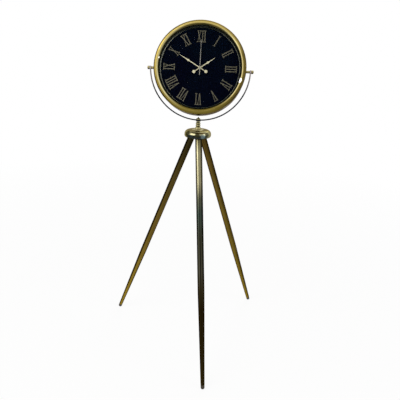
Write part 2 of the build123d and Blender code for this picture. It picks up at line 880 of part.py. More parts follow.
with BuildPart() as pivot_washers:
    for side in (1, -1):
        with BuildSketch(Plane(origin=pivot + Vector(side * sleeve_end, 0, 0), z_dir=(side, 0, 0))):
            Circle(pivot_sleeve_diameter / 2 + washer_rim / 2)
            Circle(pivot_screw_diameter / 2 + running_clearance, mode=Mode.SUBTRACT)
        extrude(amount=washer_thickness)
save_piece(pivot_washers, "pivot_washers")

# Clamp knobs: a domed head with a grip groove, and the screw that passes to the boss

knob_start = eye_outer + face_gap
knob_end = knob_start + knob_length
knob_radius = knob_diameter / 2
groove_start = knob_start + knob_length / 4

for side, name in ((1, "right"), (-1, "left")):
    with BuildPart() as knob:
        with BuildSketch(pivot_plane(side)):
            with BuildLine():
                Polyline(
                    (boss_end, 0),
                    (boss_end, pivot_screw_diameter / 2),
                    (knob_start, pivot_screw_diameter / 2),
                    (knob_start, knob_radius),
                    (groove_start, knob_radius),
                    (groove_start, knob_radius - knob_groove_depth),
                    (groove_start + knob_groove_width, knob_radius - knob_groove_depth),
                    (groove_start + knob_groove_width, knob_radius),
                    (knob_end - knob_dome, knob_radius),
                )
                EllipticalCenterArc((knob_end - knob_dome, 0), knob_dome, knob_radius, 0, arc_size=90)
                Line((knob_end, 0), (boss_end, 0))
            make_face()
        revolve(axis=Axis(pivot, (1, 0, 0)))
    save_piece(knob, f"clamp_knob_{name}")

# Movement: a plastic box behind the dial, with a bay for its battery and a set wheel

with BuildPart() as movement_case:
    with BuildSketch(dial_plane(movement_rear)):
        RectangleRounded(movement_width, movement_width, movement_corner)
    extrude(amount=movement_depth)
    chamfer(
        movement_case.faces().sort_by(face_axis)[0].edges(),
        length=movement_edge,
    )
    with BuildSketch(dial_plane(movement_rear - overrun)):
        with Locations((0, -battery_drop)):
            Rectangle(bay_length, bay_height)
    extrude(amount=battery_floor - movement_rear + overrun, mode=Mode.SUBTRACT)
    with BuildSketch(dial_plane(movement_rear - overrun)):
        with Locations((set_wheel_offset, set_wheel_offset)):
            Circle(set_wheel_diameter / 2 + battery_clearance)
    extrude(amount=set_wheel_recess + overrun, mode=Mode.SUBTRACT)
    with BuildSketch(dial_plane(movement_rear)):
        with Locations((set_wheel_offset, set_wheel_offset)):
            Circle(set_wheel_post_diameter / 2 + running_clearance)
    extrude(amount=set_wheel_recess + set_wheel_post_length + battery_clearance, mode=Mode.SUBTRACT)
    with BuildSketch(dial_plane(bush_rear)):
        Circle(bush_diameter / 2)
    extrude(amount=bush_length, mode=Mode.SUBTRACT)
    with BuildSketch(dial_plane(chamber_rear)):
        Circle(work_chamber_diameter / 2)
    extrude(amount=work_chamber_depth + bush_flange_height, mode=Mode.SUBTRACT)
    with BuildSketch(dial_plane(chamber_rear)):
        Circle(second_arbor_diameter / 2 + running_clearance)
    extrude(amount=-second_arbor_diameter, mode=Mode.SUBTRACT)
save_piece(movement_case, "movement_case")

with BuildPart() as centre_bush:
    with BuildSketch(dial_plane(bush_rear)):
        Circle(bush_diameter / 2)
        Circle(bush_bore_diameter / 2, mode=Mode.SUBTRACT)
    extrude(amount=bush_length)
    with BuildSketch(dial_plane(bush_rear)):
        Circle(bush_flange_diameter / 2)
        Circle(bush_bore_diameter / 2, mode=Mode.SUBTRACT)
    extrude(amount=bush_flange_height)
save_piece(centre_bush, "centre_bush")

with BuildPart() as movement_gasket:
    with BuildSketch(dial_plane(movement_front)):
        Circle(gasket_diameter / 2)
        Circle(bush_diameter / 2, mode=Mode.SUBTRACT)
    extrude(amount=gasket_thickness)
save_piece(movement_gasket, "movement_gasket")

with BuildPart() as bush_washer:
    with BuildSketch(dial_plane(dial_front)):
        Circle(bush_washer_diameter / 2)
        Circle(bush_diameter / 2, mode=Mode.SUBTRACT)
    extrude(amount=bush_washer_height)
save_piece(bush_washer, "bush_washer")

with BuildPart() as bush_nut:
    with BuildSketch(dial_plane(dial_front + bush_washer_height)):
        RegularPolygon(bush_nut_width / 2, 6, major_radius=False)
        Circle(bush_diameter / 2, mode=Mode.SUBTRACT)
    extrude(amount=bush_nut_height)
save_piece(bush_nut, "bush_nut")

# Battery and its two end contacts, side by side along X in the bay

battery_centre = pivot + face_normal * battery_depth - face_up * battery_drop
battery_start = -battery_axis_length / 2

with BuildPart() as battery:
    with BuildSketch(Plane(origin=battery_centre + Vector(battery_start, 0, 0), z_dir=(1, 0, 0))):
        Circle(battery_diameter / 2)
    extrude(amount=battery_length)
    with BuildSketch(
        Plane(origin=battery_centre + Vector(battery_start + battery_length, 0, 0), z_dir=(1, 0, 0))
    ):
        Circle(battery_nub_diameter / 2)
    extrude(amount=battery_nub_length)
save_piece(battery, "battery")

with BuildPart() as battery_contacts:
    for start in (-bay_length / 2, bay_length / 2 - contact_thickness):
        with BuildSketch(
            Plane(origin=battery_centre + Vector(start, 0, 0), x_dir=face_up, z_dir=(1, 0, 0))
        ):
            Rectangle(contact_width, contact_width)
        extrude(amount=contact_thickness)
save_piece(battery_contacts, "battery_contacts")

with BuildPart() as set_wheel:
    with BuildSketch(dial_plane(movement_rear + set_wheel_recess - battery_clearance)):
        with Locations((set_wheel_offset, set_wheel_offset)):
            Circle(set_wheel_diameter / 2)
            with PolarLocations(set_wheel_diameter / 2, set_wheel_flutes):
                Circle(set_wheel_flute_diameter / 2, mode=Mode.SUBTRACT)
    extrude(amount=-set_wheel_height)
    with BuildSketch(dial_plane(movement_rear + set_wheel_recess - battery_clearance)):
        with Locations((set_wheel_offset, set_wheel_offset)):
            Circle(set_wheel_post_diameter / 2)
    extrude(amount=set_wheel_post_length)
save_piece(set_wheel, "set_wheel")

# Pipes and arbor: one inside the other through the bush, each carrying its hand

with BuildPart() as hour_pipe:
    with BuildSketch(dial_plane(hour_pipe_rear)):
        Circle(hour_pipe_diameter / 2)
        Circle(minute_pipe_diameter / 2 + running_clearance, mode=Mode.SUBTRACT)
    extrude(amount=hour_hand_rear + hand_thickness - hour_pipe_rear)
save_piece(hour_pipe, "hour_pipe")

with BuildPart() as minute_pipe:
    with BuildSketch(dial_plane(minute_pipe_rear)):
        Circle(minute_pipe_diameter / 2)
        Circle(second_arbor_diameter / 2 + running_clearance, mode=Mode.SUBTRACT)
    extrude(amount=minute_hand_rear + hand_thickness - minute_pipe_rear)
save_piece(minute_pipe, "minute_pipe")

with BuildPart() as second_arbor:
    with BuildSketch(dial_plane(second_arbor_rear)):
        Circle(second_arbor_diameter / 2)
    extrude(amount=second_hand_rear + hand_thickness - second_arbor_rear)
save_piece(second_arbor, "second_arbor")


def draw_hand(length, diamond_share, bore_diameter):
    """A hand seen from the front: blade with a diamond swelling, tail with a round bulb."""
    diamond = length * diamond_share
    half_blade = hand_blade_width / 2
    half_diamond = hand_diamond_width / 2
    half_tip = hand_tip_width / 2
    half_swell = hand_diamond_length / 2
    right = [
        (half_blade, 0),
        (half_blade, diamond - half_swell),
        (half_diamond, diamond),
        (half_blade, diamond + half_swell),
        (half_tip, length),
    ]
    left = [(-x, y) for x, y in reversed(right)]
    Polygon(*right, *left, align=None)
    Rectangle(hand_tail_width, hand_tail, align=(Align.CENTER, Align.MAX))
    with Locations((0, hand_bulb_diameter / 2 - hand_tail)):
        Circle(hand_bulb_diameter / 2)
    Circle(hand_hub_diameter / 2)
    Circle(bore_diameter / 2, mode=Mode.SUBTRACT)


with BuildPart() as hour_hand:
    with BuildSketch(dial_plane(hour_hand_rear, hour_angle)):
        draw_hand(hour_hand_length, hour_diamond_share, hour_pipe_diameter)
    extrude(amount=hand_thickness)
save_piece(hour_hand, "hour_hand")

with BuildPart() as minute_hand:
    with BuildSketch(dial_plane(minute_hand_rear, minute_angle)):
        draw_hand(minute_hand_length, minute_diamond_share, minute_pipe_diameter)
    extrude(amount=hand_thickness)
save_piece(minute_hand, "minute_hand")

with BuildPart() as second_hand:
    with BuildSketch(dial_plane(second_hand_rear, second_angle)):
        Polygon(
            (second_hand_width / 2, -second_hand_tail),
            (second_hand_width / 2, 0),
            (second_tip_width / 2, second_hand_length),
            (-second_tip_width / 2, second_hand_length),
            (-second_hand_width / 2, 0),
            (-second_hand_width / 2, -second_hand_tail),
            align=None,
        )
        Circle(second_hub_diameter / 2)
        Circle(second_arbor_diameter / 2, mode=Mode.SUBTRACT)
    extrude(amount=hand_thickness)
    with BuildSketch(dial_plane(second_hand_rear + hand_thickness, second_angle)):
        Circle(second_cap_diameter / 2)
    extrude(amount=second_cap_height, taper=25)
save_piece(second_hand, "second_hand")
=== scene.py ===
"""Tripod floor clock, dressed for its photograph.

A polished drum clock hangs in a thin half-ring yoke on a turned stem, above three
tapered tube legs. Metres, +Z up, floor at Z = 0, the dial facing -Y.
"""

import json
import math

import bpy
from mathutils import Matrix, Vector


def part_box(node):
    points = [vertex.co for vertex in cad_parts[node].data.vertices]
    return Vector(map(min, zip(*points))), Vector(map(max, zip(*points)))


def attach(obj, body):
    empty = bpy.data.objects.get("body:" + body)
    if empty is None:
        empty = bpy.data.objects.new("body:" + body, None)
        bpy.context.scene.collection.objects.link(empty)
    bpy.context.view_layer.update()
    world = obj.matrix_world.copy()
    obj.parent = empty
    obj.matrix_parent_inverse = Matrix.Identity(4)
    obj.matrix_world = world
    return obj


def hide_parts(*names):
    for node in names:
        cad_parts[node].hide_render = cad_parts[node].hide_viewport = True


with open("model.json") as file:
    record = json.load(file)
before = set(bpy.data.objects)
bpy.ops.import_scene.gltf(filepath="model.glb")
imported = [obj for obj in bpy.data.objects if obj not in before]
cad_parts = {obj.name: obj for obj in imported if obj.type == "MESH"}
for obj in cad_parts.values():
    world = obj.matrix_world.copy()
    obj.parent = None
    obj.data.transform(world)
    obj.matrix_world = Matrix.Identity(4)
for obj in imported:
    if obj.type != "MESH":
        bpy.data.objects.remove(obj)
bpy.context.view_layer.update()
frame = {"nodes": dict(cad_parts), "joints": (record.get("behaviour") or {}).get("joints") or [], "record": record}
nodes = frame["nodes"]
joints = {joint["name"]: joint for joint in frame["joints"]}


# Camera: it stands in front, a little above the clock, and looks down over the whole
# stand. It is turned slightly to the left and rolled, as the photograph is.

eye = Vector((0.1340, -1.5325, 1.2410))
turn, dip, roll = (math.radians(angle) for angle in (-2.72, 21.18, 2.5))
ahead = Vector((math.sin(turn) * math.cos(dip), math.cos(turn) * math.cos(dip), -math.sin(dip)))
level = Vector((math.cos(turn), -math.sin(turn), 0))
upward = level.cross(ahead)
right = level * math.cos(roll) + upward * math.sin(roll)
top = upward * math.cos(roll) - level * math.sin(roll)
camera = bpy.data.objects.new("camera", bpy.data.cameras.new("camera"))
camera.data.lens = 37.8
camera.data.sensor_width = 36
camera.matrix_world = Matrix(
    (
        (right.x, top.x, -ahead.x, eye.x),
        (right.y, top.y, -ahead.y, eye.y),
        (right.z, top.z, -ahead.z, eye.z),
        (0, 0, 0, 1),
    )
)
bpy.context.scene.collection.objects.link(camera)
bpy.context.scene.camera = camera


# Studio: a pale floor that keeps the stand's shadow, in a plain white room. Three soft
# lamps hang round the clock: a wide one in front to the left, a tall one to the right
# and one high up behind.


class Link:
    """The output socket of a node. Arithmetic on it adds Math nodes."""

    def __init__(self, bench, socket):
        self.bench = bench
        self.socket = socket

    def combine(self, operation, first, second):
        return self.bench.add("ShaderNodeMath", {"operation": operation}, {0: first, 1: second})

    def __add__(self, other):
        return self.combine("ADD", self, other)

    def __sub__(self, other):
        return self.combine("SUBTRACT", self, other)

    def __rsub__(self, other):
        return self.combine("SUBTRACT", other, self)

    def __mul__(self, other):
        return self.combine("MULTIPLY", self, other)

    __radd__ = __add__
    __rmul__ = __mul__


class Bench:
    """A node tree that a finish is put together on."""

    def __init__(self, tree):
        self.tree = tree

    def add(self, kind, settings=None, sockets=None, output=0):
        """One node: its settings first, with a ramp's stops among them, then its sockets."""
        node = self.tree.nodes.new(kind)
        for name, value in (settings or {}).items():
            if name == "stops":
                for spot, shade in value[1:-1]:
                    node.color_ramp.elements.new(spot).color = shade
                node.color_ramp.elements[0].color = value[0][1]
                node.color_ramp.elements[-1].color = value[-1][1]
            else:
                setattr(node, name, value)
        for name, value in (sockets or {}).items():
            if isinstance(value, Link):
                self.tree.links.new(value.socket, node.inputs[name])
            else:
                node.inputs[name].default_value = value
        return Link(self, node.outputs[output] if len(node.outputs) else None)

    def feed(self, node, **links):
        """Links into the sockets of a node that is already there."""
        for name, link in links.items():
            self.tree.links.new(link.socket, node.inputs[name.replace("_", " ")])

    def measure(self, operation, first, second=None, output="Value"):
        """Vector maths on two vectors, such as a length or a dot product."""
        vectors = {0: first} if second is None else {0: first, 1: second}
        return self.add("ShaderNodeVectorMath", {"operation": operation}, vectors, output)

    def reach(self, place, centre, axis):
        """How far a point lies from an axis."""
        offset = self.measure("SUBTRACT", place, centre, "Vector")
        return self.measure("LENGTH", self.measure("CROSS_PRODUCT", offset, axis, "Vector"))

    def near(self, place, spot, size, ragged=0.0):
        """1 round a spot, up to a distance from it, with an edge that noise makes ragged."""
        away = self.measure("LENGTH", self.measure("SUBTRACT", place, spot, "Vector"))
        return 1 - self.contrast(away + self.noise(place, 160) * ragged, size, size * 1.35)

    def height(self, place):
        """How high a point lies above the floor."""
        return self.add("ShaderNodeSeparateXYZ", sockets={"Vector": place}, output="Z")

    def seen(self):
        """1 for what the camera, a reflection or a pane of glass shows, and 0 for light."""
        return (
            self.add("ShaderNodeLightPath", output="Is Camera Ray")
            + self.add("ShaderNodeLightPath", output="Is Glossy Ray")
            + self.add("ShaderNodeLightPath", output="Is Transmission Ray")
        )

    def contrast(self, link, low, high):
        """Stretches a value so that low becomes 0 and high becomes 1, and stops there."""
        return self.add(
            "ShaderNodeMapRange",
            {"clamp": True},
            {"Value": link, "From Min": low, "From Max": high, "To Min": 0.0, "To Max": 1.0},
        )

    def place(self):
        """Where a point of the surface lies."""
        return self.add("ShaderNodeTexCoord", output="Object")

    def noise(self, place, scale, detail=3.0, roughness=0.55):
        """Even cloudy noise from 0 to 1, at a number of clouds per metre."""
        return self.add(
            "ShaderNodeTexNoise",
            sockets={"Vector": place, "Scale": scale, "Detail": detail, "Roughness": roughness},
        )

    def blend(self, amount, first, second):
        """One colour fading into another."""
        factor, first_colour, second_colour, mixed_colour = 0, 6, 7, 2
        shades = {factor: amount}
        for socket, shade in ((first_colour, first), (second_colour, second)):
            shades[socket] = shade if isinstance(shade, Link) else (*shade, 1)
        return self.add("ShaderNodeMix", {"data_type": "RGBA"}, shades, output=mixed_colour)

    def fade(self, link, stops):
        """A colour for each value, from stops of a value and its colour."""
        low, high = stops[0][0], stops[-1][0]
        shares = [((value - low) / (high - low), (*shade, 1)) for value, shade in stops]
        spot = self.contrast(link, low, high)
        return self.add("ShaderNodeValToRGB", {"stops": shares}, {0: spot})

    def bump(self, height, strength, depth):
        """A rough surface, with the depth of its hollows in millimetres."""
        return self.add(
            "ShaderNodeBump",
            sockets={"Strength": strength, "Distance": depth / 1000, "Height": height},
        )


edge = 12
floor_corners = [(-edge, -edge, 0), (edge, -edge, 0), (edge, edge, 0), (-edge, edge, 0)]
floor_mesh = bpy.data.meshes.new("floor")
floor_mesh.from_pydata(floor_corners, [], [(0, 1, 2, 3)])
floor = bpy.data.objects.new("floor", floor_mesh)
bpy.context.scene.collection.objects.link(floor)
floor_paper = bpy.data.materials.new("floor_paper")
floor_paper.use_nodes = True
floor_paper.node_tree.nodes.clear()
bench = Bench(floor_paper.node_tree)
distance = bench.measure("LENGTH", bench.add("ShaderNodeNewGeometry", output="Position"))
paper = bench.add("ShaderNodeBsdfDiffuse", sockets={"Color": (0.95, 0.95, 0.94, 1)})
white = bench.add("ShaderNodeEmission", sockets={"Color": (1, 1, 1, 1), "Strength": 1.0})
share = bench.seen() * (0.9 + 0.1 * bench.contrast(distance, 0.8, 3.0))
lit_paper = bench.add("ShaderNodeMixShader", sockets={0: share, 1: paper, 2: white})
bench.add("ShaderNodeOutputMaterial", sockets={"Surface": lit_paper})
floor_mesh.materials.append(floor_paper)

room_fill = 0.45
room = bpy.data.worlds.new("room")
room.use_nodes = True
room.node_tree.nodes.clear()
bench = Bench(room.node_tree)
strength = bench.seen() * (1 - room_fill) + room_fill
sky = bench.add("ShaderNodeBackground", sockets={"Color": (1, 1, 1, 1), "Strength": strength})
bench.add("ShaderNodeOutputWorld", sockets={"Surface": sky})
bpy.context.scene.world = room

for lamp_name, place, target, width, height, watts in (
    ("key_lamp", (-1.9, -1.9, 2.6), (0.04, 0.06, 0.9), 2.6, 2.6, 60),
    ("tall_lamp", (2.3, -0.9, 1.6), (0.04, 0.06, 0.9), 0.9, 2.2, 14),
    ("rear_lamp", (0.6, 2.2, 2.8), (0.04, 0.06, 0.8), 1.6, 1.6, 18),
):
    lamp = bpy.data.objects.new(lamp_name, bpy.data.lights.new(lamp_name, "AREA"))
    lamp.data.shape = "RECTANGLE"
    lamp.data.size, lamp.data.size_y, lamp.data.energy = width, height, watts
    lamp.location = place
    lamp.rotation_mode = "QUATERNION"
    lamp.rotation_quaternion = (Vector(target) - Vector(place)).to_track_quat("-Z", "Y")
    bpy.context.scene.collection.objects.link(lamp)


# Bezel: one spun brass ring with a round crest and a skirt that slides into the case.
# Its crest is bright above, and the slope inside is painted dark olive, painted shade.
# The flanks carry painted reflections, pale inside and painted shade outside, two small
# bright painted reflections lie on the inner slope, and painted shade dims the lower right
# and the bottom.

pivot = Vector(joints["head_tilt"]["pos_m"])
face_normal = -Vector(joints["second_turn"]["axis"]).normalized()
rightward, upright = Vector((1, 0, 0)), Vector((0, 0, 1))
bezel_radius, crest_radius, lip_radius = 165, 156, 147


def arc(centre, reach, start, end, steps=10):
    """Points along an ellipse, from one angle to another, as (radius, height) in millimetres."""
    angles = [math.radians(start + (end - start) * step / steps) for step in range(steps + 1)]
    return [
        (centre[0] + reach[0] * math.cos(angle), centre[1] + reach[1] * math.sin(angle))
        for angle in angles
    ]


def turned(name, profile, origin, axis, body, material, sides=128):
    """A smooth piece: a closed profile of (radius, height) in millimetres, turned on an axis."""
    axis = Vector(axis).normalized()
    across = axis.orthogonal().normalized()
    beside = axis.cross(across)
    points, rings, faces = [], [], []
    for radius, height in profile:
        rings.append((len(points), 1 if radius < 1e-6 else sides))
        for step in range(rings[-1][1]):
            angle = 2 * math.pi * step / sides
            spoke = across * math.cos(angle) + beside * math.sin(angle)
            points.append(origin + (axis * height + spoke * radius) / 1000)
    for (first, first_count), (second, second_count) in zip(rings, rings[1:] + rings[:1]):
        for step in range(sides if first_count + second_count > 2 else 0):
            after = (step + 1) % sides
            if first_count == 1:
                faces.append((first, second + after, second + step))
            elif second_count == 1:
                faces.append((first + step, first + after, second))
            else:
                faces.append((first + step, first + after, second + after, second + step))
    mesh = bpy.data.meshes.new(name)
    mesh.from_pydata([tuple(point) for point in points], [], faces)
    mesh.materials.append(material)
    mesh.polygons.foreach_set("use_smooth", [True] * len(mesh.polygons))
    mesh.set_sharp_from_angle(angle=math.radians(35))
    piece = bpy.data.objects.new(name, mesh)
    bpy.context.scene.collection.objects.link(piece)
    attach(piece, body)
    return piece


def new_finish(name, **values):
    """A material, its bench and its shader, with the values that are the same all over."""
    material = bpy.data.materials.new(name)
    material.use_nodes = True
    shader = material.node_tree.nodes["Principled BSDF"]
    for socket, value in values.items():
        shader.inputs[socket.replace("_", " ")].default_value = value
    return material, Bench(material.node_tree), shader


def overlay(material, mask, shade):
    """Lays a colour over a finish. The mask is worked out on its bench from the place."""
    bench = Bench(material.node_tree)
    shader = material.node_tree.nodes["Principled BSDF"]
    under = Link(bench, shader.inputs["Base Color"].links[0].from_socket)
    over = shade(bench, bench.place()) if callable(shade) else shade
    bench.feed(shader, Base_Color=bench.blend(mask(bench, bench.place()), under, over))


def spun_metal(
    name, centre, axis, along, stops, tarnish, polish=0.16, wear=0.35, rim=0.55, blotches=26
):
    """Metal turned round an axis. Its colour runs along its radius or height in millimetres,
    under faint tool rings, cloudy tarnish and small scratches. Rim dims its grazing edge."""
    material, bench, shader = new_finish(
        name, Metallic=1.0, Specular_Tint=(rim, rim * 0.86, rim * 0.6, 1)
    )
    place = bench.place()
    radius = bench.reach(place, centre, axis)
    offset = bench.measure("SUBTRACT", place, centre, "Vector")
    height = bench.measure("DOT_PRODUCT", offset, axis)
    rings = bench.add(
        "ShaderNodeTexNoise",
        {"noise_dimensions": "1D"},
        {"W": (radius + height * 0.8) * 1400, "Detail": 2.0},
    )
    clouds = bench.contrast(bench.noise(place, blotches, 5), 0.40, 0.66)
    scuffs = bench.contrast(bench.noise(place, 260, 6, 0.7), 0.56, 0.72)
    shade = bench.fade((radius if along == "radius" else height) * 1000, stops)
    bench.feed(
        shader,
        Base_Color=bench.blend(clouds * wear, shade, tarnish),
        Roughness=polish + clouds * 0.12 + scuffs * 0.08 + rings * 0.05,
        Normal=bench.bump(rings + scuffs * 0.5, 0.1, 0.15),
    )
    return material


# Across the radius: the slope inside the crest is painted dark olive, painted shade, then comes the bright crest
# and a darker outer rim.
bezel_gold = spun_metal(
    "bezel_gold",
    pivot,
    face_normal,
    "radius",
    [
        (lip_radius, (0.050, 0.055, 0.030)),
        (148.4, (0.024, 0.024, 0.008)),
        (151.6, (0.034, 0.028, 0.006)),
        (153.4, (0.47, 0.37, 0.115)),
        (157.5, (0.56, 0.435, 0.135)),
        (160.0, (0.31, 0.23, 0.050)),
        (bezel_radius, (0.15, 0.10, 0.016)),
    ],
    tarnish=(0.24, 0.175, 0.055),
    wear=0.3,
    rim=0.4,
)


def from_middle(bench, place):
    """How far to the right of the pivots' middle a point lies, and how far above it."""
    offset = bench.measure("SUBTRACT", place, pivot, "Vector")
    sideways = bench.measure("DOT_PRODUCT", offset, rightward)
    return sideways, bench.measure("DOT_PRODUCT", offset, upright)


def apart_from(bench, place, centre):
    """How far to either side of a middle a point lies."""
    offset = bench.measure("SUBTRACT", place, centre, "Vector")
    apart = bench.measure("ABSOLUTE", offset, output="Vector")
    return bench.measure("DOT_PRODUCT", apart, rightward)


def flanks(bench, place):
    """1 on the left of the bezel, less on its right and higher up, and 0 at top and bottom."""
    sideways, height = from_middle(bench, place)
    beside = bench.contrast(apart_from(bench, place, pivot), 0.055, 0.115)
    lower = 1 - bench.contrast(height, -0.03, 0.07)
    return beside * (0.5 + lower * 0.5) * (1 - bench.contrast(sideways, 0.0, 0.05) * 0.12)


def tones_between_dark_edges(bench, place, stops):
    """Tones across the bezel, by radius in millimetres, between its dark lip and rim."""
    inner = [(lip_radius, (0.030, 0.030, 0.010)), (149.6, (0.040, 0.036, 0.010))]
    outer = [(162.0, (0.045, 0.031, 0.009)), (bezel_radius, (0.035, 0.024, 0.007))]
    spread = bench.reach(place, pivot, face_normal) * 1000
    return bench.fade(spread, inner + stops + outer)


def flank_painted_light(bench, place):
    """The flanks' painted light: a pale painted reflection inside and painted shade outside."""
    stops = [
        (151.0, (0.66, 0.59, 0.32)),
        (154.6, (0.60, 0.51, 0.22)),
        (155.8, (0.14, 0.105, 0.022)),
        (160.4, (0.095, 0.068, 0.014)),
    ]
    return tones_between_dark_edges(bench, place, stops)


def shaded_right_side(bench, place):
    """0.9 low on the right of the bezel, which is painted shade there, and 0 elsewhere."""
    sideways, height = from_middle(bench, place)
    return bench.contrast(sideways, 0.03, 0.07) * (1 - bench.contrast(height, 0.06, 0.10)) * 0.9


def shaded_right_tones(bench, place):
    """The painted shade on that side, with a narrow painted highlight inside."""
    stops = [
        (151.0, (0.24, 0.20, 0.10)),
        (152.6, (0.145, 0.11, 0.030)),
        (156.0, (0.13, 0.096, 0.020)),
        (160.4, (0.080, 0.057, 0.011)),
    ]
    return tones_between_dark_edges(bench, place, stops)


def painted_shade_low(bench, place):
    """0.9 at the bottom of the bezel, which is painted shade, and 0 higher up."""
    return (1 - bench.contrast(bench.height(place), pivot.z - 0.134, pivot.z - 0.080)) * 0.9


def painted_glints(bench, place):
    """1 on two painted reflections inside the bezel: low on the right, high on the left."""
    slope_height, slope_radius = 0.038, 0.1485
    in_face = rightward.cross(-face_normal)
    spots = []
    for angle, size in ((-15.5, 0.0075), (169.5, 0.0032)):
        across, rise = math.cos(math.radians(angle)), math.sin(math.radians(angle))
        spoke = (rightward * across + in_face * rise) * slope_radius
        spots.append(bench.near(place, pivot + face_normal * slope_height + spoke, size))
    return spots[0] + spots[1]


# Painted light over the bezel: reflections and shade on the flanks, shade low on the right and at the bottom, and
# two bright reflections inside.
overlay(bezel_gold, flanks, flank_painted_light)
overlay(bezel_gold, shaded_right_side, shaded_right_tones)
overlay(bezel_gold, painted_shade_low, (0.145, 0.110, 0.018))
overlay(bezel_gold, painted_glints, (1.0, 0.97, 0.86))
bezel_profile = (
    arc((crest_radius, 37), (crest_radius - lip_radius, 5.5), 180, 90, steps=12)
    + arc((crest_radius, 36), (bezel_radius - crest_radius, 6.5), 90, 0, steps=14)
    + [(bezel_radius, 34.0), (164.5, 33.5), (160.5, 33.5), (160.5, 23.5), (160.2, 23.2)]
    + [(157.5, 23.2), (157.2, 23.5), (157.2, 36.2), (147.2, 36.2), (lip_radius, 36.4)]
)
bezel = turned(
    "bezel_ring", bezel_profile, pivot, face_normal, "head", bezel_gold, sides=192
)
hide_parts("bezel")


# Case: a brass pan spun from sheet and lacquered like the bezel, with a round corner
# behind and a flat rim that the back cover is screwed to.

case_front, case_back, corner_centre, corner_radius, case_wall = 33.5, -30, (152.7, -20), 10, 2
case_gold = spun_metal(
    "case_gold",
    pivot,
    face_normal,
    "height",
    [
        (case_back, (0.26, 0.18, 0.040)),
        (-20, (0.21, 0.145, 0.026)),
        (case_front, (0.18, 0.12, 0.020)),
    ],
    tarnish=(0.30, 0.225, 0.07),
    wear=0.4,
    rim=0.28,
)
case_profile = (
    [(160.7, case_front), (162.5, case_front), (162.7, 33.3)]
    + arc(corner_centre, (corner_radius, corner_radius), 0, -90)
    + [(123.9, case_back), (123.7, -29.8), (123.7, case_back + case_wall)]
    + arc(corner_centre, (corner_radius - case_wall, corner_radius - case_wall), -90, 0)
)
case = turned(
    "case_pan", case_profile, pivot, face_normal, "head", case_gold, sides=192
)
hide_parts("case_shell")


# Dial glass: a flat disc of clear sheet glass that rests in the bezel, with a ground
# edge. It shows only by what it reflects.


def coat(material, *names):
    """Gives CAD nodes their finish."""
    for name in names:
        nodes[name].data.materials.clear()
        nodes[name].data.materials.append(material)


clear_glass = new_finish(
    "clear_glass",
    Base_Color=(0, 0, 0, 1),
    Roughness=0.03,
    IOR=1.45,
    Alpha=0.01,
    Specular_IOR_Level=0.02,
)[0]
clear_glass.surface_render_method = "BLENDED"
coat(clear_glass, "dial_glass")


# Dial: a sheet metal disc sprayed satin blue-black, a little greener where the paint
# has pooled, and a lacquered olive ring that covers its edge.

dial_paint, bench, shader = new_finish("dial_paint", IOR=1.2, Specular_IOR_Level=0.05)
place = bench.place()
pools = bench.contrast(bench.noise(place, 9, 4), 0.42, 0.70)
grain = bench.noise(place, 900, 2)
bench.feed(
    shader,
    Base_Color=bench.blend(pools, (0.0002, 0.0006, 0.0045), (0.0004, 0.0022, 0.0056)),
    Roughness=0.42 + grain * 0.16,
    Normal=bench.bump(grain, 0.02, 0.05),
)
coat(dial_paint, "dial_plate")

ring_lacquer, bench, shader = new_finish("ring_lacquer", Metallic=0.8)
place = bench.place()
clouds = bench.contrast(bench.noise(place, 30, 4), 0.4, 0.65)
bench.feed(
    shader,
    Base_Color=bench.blend(clouds, (0.003, 0.004, 0.003), (0.010, 0.012, 0.008)),
    Roughness=0.26 + bench.noise(place, 300, 4) * 0.2,
)


def lip_highlight_mask(bench, place):
    """1 on the inner edge of the dial ring, which carries a painted highlight."""
    return 1 - bench.contrast(bench.reach(place, pivot, face_normal), 0.1424, 0.1432)


def lip_painted_light(bench, place):
    """Painted light: shade at the top, a dim painted highlight below, a bright one at the sides."""
    high = bench.contrast(bench.height(place), pivot.z - 0.02, pivot.z + 0.10)
    plain = bench.blend(high, (0.12, 0.135, 0.095), (0.014, 0.018, 0.012))
    return bench.blend(flanks(bench, place), plain, (0.40, 0.41, 0.32))


# The ring's inner lip is painted with a highlight and, at the top, with shade.
overlay(ring_lacquer, lip_highlight_mask, lip_painted_light)
coat(ring_lacquer, "dial_ring")


# Numerals: cut from thin brass sheet and stuck on the dial, brushed dull so that they
# don't glare under the glass.

numeral_brass, bench, shader = new_finish("numeral_brass", Metallic=0.85)
place = bench.place()
stretched = bench.add("ShaderNodeMapping", sockets={"Vector": place, "Scale": (1, 12, 12)})
brushing = bench.noise(stretched, 220)
tones = bench.contrast(brushing, 0.3, 0.7)
bench.feed(
    shader,
    Base_Color=bench.blend(tones, (0.060, 0.056, 0.039), (0.115, 0.107, 0.073)),
    Roughness=0.42 + brushing * 0.2,
    Normal=bench.bump(brushing, 0.1, 0.1),
)
coat(numeral_brass, "dial_numerals")


# Hands: stamped from pale champagne brass, each pressed on its pipe. The second hand is
# a plain flat needle of duller metal with a cap over the arbor.

for name, dull, bright, hand_names in (
    ("hand_brass", (0.38, 0.355, 0.23), (0.52, 0.49, 0.34), ("hour_hand", "minute_hand")),
    ("needle_steel", (0.17, 0.165, 0.145), (0.25, 0.245, 0.215), ("second_hand",)),
):
    metal, bench, shader = new_finish(name, Metallic=0.9)
    satin = bench.noise(bench.place(), 700)
    tones = bench.contrast(satin, 0.35, 0.65)
    bench.feed(shader, Base_Color=bench.blend(tones, dull, bright), Roughness=0.36 + satin * 0.14)
    coat(metal, *hand_names)
